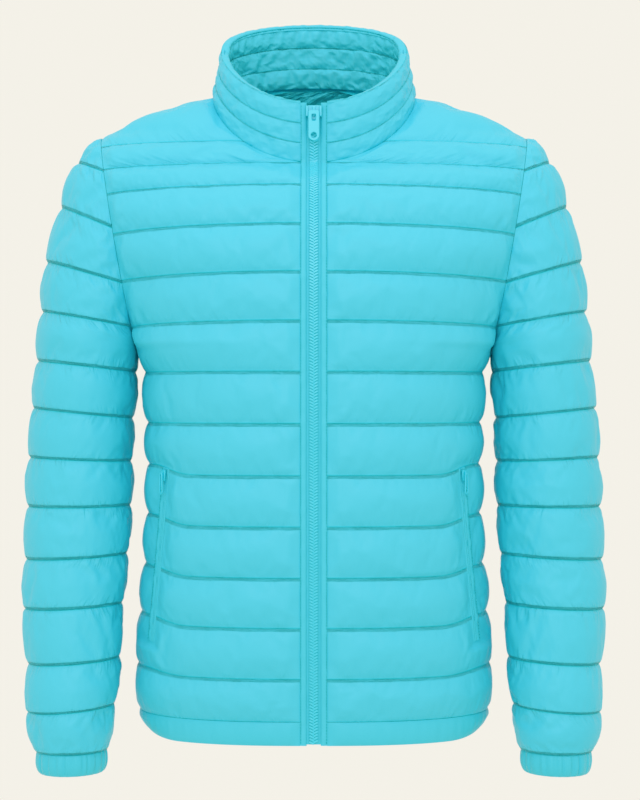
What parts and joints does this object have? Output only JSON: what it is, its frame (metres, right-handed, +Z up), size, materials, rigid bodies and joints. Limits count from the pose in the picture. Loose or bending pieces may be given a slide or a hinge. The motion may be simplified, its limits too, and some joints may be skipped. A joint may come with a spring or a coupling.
{
  "type": "puffer jacket",
  "caption": "Light quilted jacket with a stand collar, a full front zip, slanted zip pockets and gathered cuffs, filled out as if worn.",
  "frame": {"origin": "between the shoulders at the height of the neck's side points, where the wearer's shoulders hold it up", "axes": "+Z up from hem to collar, +Y from the front to the back, +X to the right as seen from the front"},
  "size_m": [0.6082, 0.2423, 0.786],
  "materials": {
    "shell": "satin",
    "trim": "satin",
    "lining": "satin",
    "zip": "gloss"
  },
  "bodies": {
    "jacket": {"front_left": "shell", "front_right": "shell", "back": "shell", "sleeve_left": "shell", "sleeve_right": "shell", "cuff_left": "trim", "cuff_right": "trim", "hem_front_left": "trim", "hem_front_right": "trim", "hem_back": "trim", "collar": "shell", "collar_facing": "lining", "back_neck_lining": "lining", "placket_left": "trim", "placket_right": "trim", "zip_tape_left": "trim", "zip_tape_right": "trim", "zip_chain": "zip", "zip_slider": "zip", "pocket_zip_left": "trim", "pocket_zip_right": "trim", "pocket_slider_left": "zip", "pocket_slider_right": "zip", "pocket_pull_left": "trim", "pocket_pull_right": "trim"},
    "pull_tab": {"zip_pull": "zip"}
  },
  "joints": [
    {"name": "zip_pull_hinge", "type": "hinge", "parent": "jacket", "child": "pull_tab", "pos_m": [0, -0.079, -0.0156], "axis": [-1, 0, 0], "range_deg": [0, 150]}
  ]
}
